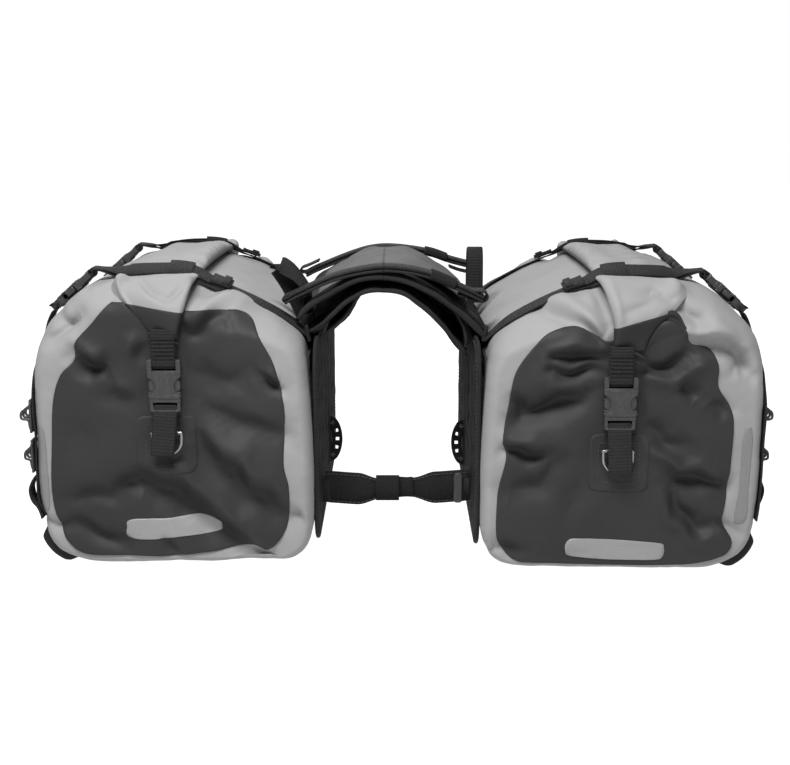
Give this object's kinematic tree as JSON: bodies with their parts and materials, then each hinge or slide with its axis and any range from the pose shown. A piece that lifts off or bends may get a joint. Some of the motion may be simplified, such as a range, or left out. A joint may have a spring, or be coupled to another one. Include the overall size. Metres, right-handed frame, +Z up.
{
  "type": "motorcycle saddlebag pair",
  "caption": "Roll-top motorcycle saddlebags joined by a padded yoke, with side-release buckles, compression straps and a lower spreader strap.",
  "frame": {"origin": "on the floor under the middle of the yoke, half-way between the bags and between their ends", "axes": "+X across the motorcycle to the right-hand bag of the front view, -Y towards the end that faces the viewer, +Z up"},
  "size_m": [0.77, 0.4698, 0.3298],
  "materials": {
    "shell_fabric": "light grey coated fabric, matt",
    "tarpaulin": "dark tarpaulin, semi-gloss",
    "back_textile": "black textile, matt",
    "board": "plain plastic board",
    "webbing": "woven webbing",
    "buckle_plastic": "moulded, satin",
    "steel": "plated wire",
    "pad_fabric": "padded, coated fabric",
    "yoke_panel": "grey coated fabric",
    "hook_and_loop": "hook-and-loop pile",
    "rubber": "moulded rubber"
  },
  "bodies": {
    "yoke": {"yoke_pad": "pad_fabric", "yoke_cover": "yoke_panel", "yoke_strap_front": "webbing", "yoke_strap_rear": "webbing"},
    "left_buckle_socket_front": {"left_buckle_socket_front": "buckle_plastic"},
    "left_compression_socket_front": {"left_compression_socket_front": "buckle_plastic"},
    "left_prong_inner_front": {"left_prong_inner_front": "buckle_plastic"},
    "left_prong_outer_front": {"left_prong_outer_front": "buckle_plastic"},
    "left_buckle_socket_rear": {"left_buckle_socket_rear": "buckle_plastic"},
    "left_compression_socket_rear": {"left_compression_socket_rear": "buckle_plastic"},
    "left_prong_inner_rear": {"left_prong_inner_rear": "buckle_plastic"},
    "left_prong_outer_rear": {"left_prong_outer_rear": "buckle_plastic"},
    "left_bag": {"left_shell": "shell_fabric", "left_inner_panel": "back_textile", "left_stiffener_board": "board", "left_roll_closure": "shell_fabric", "left_ladder_strap": "rubber", "left_spreader_strap": "hook_and_loop", "left_end_panel_front": "tarpaulin", "left_roll_strap_front": "webbing", "left_anchor_strap_front": "webbing", "left_d_ring_front": "steel", "left_buckle_clip_front": "buckle_plastic", "left_compression_strap_front": "webbing", "left_compression_clip_front": "buckle_plastic", "left_end_panel_rear": "tarpaulin", "left_roll_strap_rear": "webbing", "left_anchor_strap_rear": "webbing", "left_d_ring_rear": "steel", "left_buckle_clip_rear": "buckle_plastic", "left_compression_strap_rear": "webbing", "left_compression_clip_rear": "buckle_plastic"},
    "right_buckle_socket_front": {"right_buckle_socket_front": "buckle_plastic"},
    "right_compression_socket_front": {"right_compression_socket_front": "buckle_plastic"},
    "right_prong_inner_front": {"right_prong_inner_front": "buckle_plastic"},
    "right_prong_outer_front": {"right_prong_outer_front": "buckle_plastic"},
    "right_buckle_socket_rear": {"right_buckle_socket_rear": "buckle_plastic"},
    "right_compression_socket_rear": {"right_compression_socket_rear": "buckle_plastic"},
    "right_prong_inner_rear": {"right_prong_inner_rear": "buckle_plastic"},
    "right_prong_outer_rear": {"right_prong_outer_rear": "buckle_plastic"},
    "right_bag": {"right_shell": "shell_fabric", "right_inner_panel": "back_textile", "right_stiffener_board": "board", "right_roll_closure": "shell_fabric", "right_ladder_strap": "rubber", "right_spreader_strap": "hook_and_loop", "right_end_panel_front": "tarpaulin", "right_roll_strap_front": "webbing", "right_anchor_strap_front": "webbing", "right_d_ring_front": "steel", "right_buckle_clip_front": "buckle_plastic", "right_compression_strap_front": "webbing", "right_compression_clip_front": "buckle_plastic", "right_end_panel_rear": "tarpaulin", "right_roll_strap_rear": "webbing", "right_anchor_strap_rear": "webbing", "right_d_ring_rear": "steel", "right_buckle_clip_rear": "buckle_plastic", "right_compression_strap_rear": "webbing", "right_compression_clip_rear": "buckle_plastic"}
  },
  "joints": [
    {"name": "left_bag_swing", "type": "hinge", "parent": "yoke", "child": "left_bag", "pos_m": [-0.086, 0, 0.244], "axis": [0, 1, 0], "range_deg": [-8, 25]},
    {"name": "left_front_buckle_release", "type": "slide", "parent": "left_bag", "child": "left_buckle_socket_front", "axis": [0, 0, 1], "range_m": [0, 0.024], "deforming": ["left_roll_strap_front"]},
    {"name": "left_front_prong_inner_squeeze", "type": "slide", "parent": "left_bag", "child": "left_prong_inner_front", "axis": [-1, 0, 0], "range_m": [0, 0.003], "stiffness_N_per_m": 3000},
    {"name": "left_front_prong_outer_squeeze", "type": "slide", "parent": "left_bag", "child": "left_prong_outer_front", "axis": [1, 0, 0], "range_m": [0, 0.003], "stiffness_N_per_m": 3000},
    {"name": "left_front_compression_release", "type": "slide", "parent": "left_bag", "child": "left_compression_socket_front", "axis": [-0.7452, 0, -0.6669], "range_m": [0, 0.024]},
    {"name": "left_rear_buckle_release", "type": "slide", "parent": "left_bag", "child": "left_buckle_socket_rear", "axis": [0, 0, 1], "range_m": [0, 0.024], "deforming": ["left_roll_strap_rear"]},
    {"name": "left_rear_prong_inner_squeeze", "type": "slide", "parent": "left_bag", "child": "left_prong_inner_rear", "axis": [-1, 0, 0], "range_m": [0, 0.003], "stiffness_N_per_m": 3000},
    {"name": "left_rear_prong_outer_squeeze", "type": "slide", "parent": "left_bag", "child": "left_prong_outer_rear", "axis": [1, 0, 0], "range_m": [0, 0.003], "stiffness_N_per_m": 3000},
    {"name": "left_rear_compression_release", "type": "slide", "parent": "left_bag", "child": "left_compression_socket_rear", "axis": [-0.7452, 0, -0.6669], "range_m": [0, 0.024]},
    {"name": "right_bag_swing", "type": "hinge", "parent": "yoke", "child": "right_bag", "pos_m": [0.086, 0, 0.244], "axis": [0, -1, 0], "range_deg": [-8, 25]},
    {"name": "right_front_buckle_release", "type": "slide", "parent": "right_bag", "child": "right_buckle_socket_front", "axis": [0, 0, 1], "range_m": [0, 0.024], "deforming": ["right_roll_strap_front"]},
    {"name": "right_front_prong_inner_squeeze", "type": "slide", "parent": "right_bag", "child": "right_prong_inner_front", "axis": [1, 0, 0], "range_m": [0, 0.003], "stiffness_N_per_m": 3000},
    {"name": "right_front_prong_outer_squeeze", "type": "slide", "parent": "right_bag", "child": "right_prong_outer_front", "axis": [-1, 0, 0], "range_m": [0, 0.003], "stiffness_N_per_m": 3000},
    {"name": "right_front_compression_release", "type": "slide", "parent": "right_bag", "child": "right_compression_socket_front", "axis": [0.7452, 0, -0.6669], "range_m": [0, 0.024]},
    {"name": "right_rear_buckle_release", "type": "slide", "parent": "right_bag", "child": "right_buckle_socket_rear", "axis": [0, 0, 1], "range_m": [0, 0.024], "deforming": ["right_roll_strap_rear"]},
    {"name": "right_rear_prong_inner_squeeze", "type": "slide", "parent": "right_bag", "child": "right_prong_inner_rear", "axis": [1, 0, 0], "range_m": [0, 0.003], "stiffness_N_per_m": 3000},
    {"name": "right_rear_prong_outer_squeeze", "type": "slide", "parent": "right_bag", "child": "right_prong_outer_rear", "axis": [-1, 0, 0], "range_m": [0, 0.003], "stiffness_N_per_m": 3000},
    {"name": "right_rear_compression_release", "type": "slide", "parent": "right_bag", "child": "right_compression_socket_rear", "axis": [0.7452, 0, -0.6669], "range_m": [0, 0.024]}
  ],
  "couplings": [
    {"joint": "left_front_prong_outer_squeeze", "follows": "left_front_prong_inner_squeeze", "ratio": 1},
    {"joint": "left_rear_prong_outer_squeeze", "follows": "left_rear_prong_inner_squeeze", "ratio": 1},
    {"joint": "right_front_prong_outer_squeeze", "follows": "right_front_prong_inner_squeeze", "ratio": 1},
    {"joint": "right_rear_prong_outer_squeeze", "follows": "right_rear_prong_inner_squeeze", "ratio": 1}
  ]
}
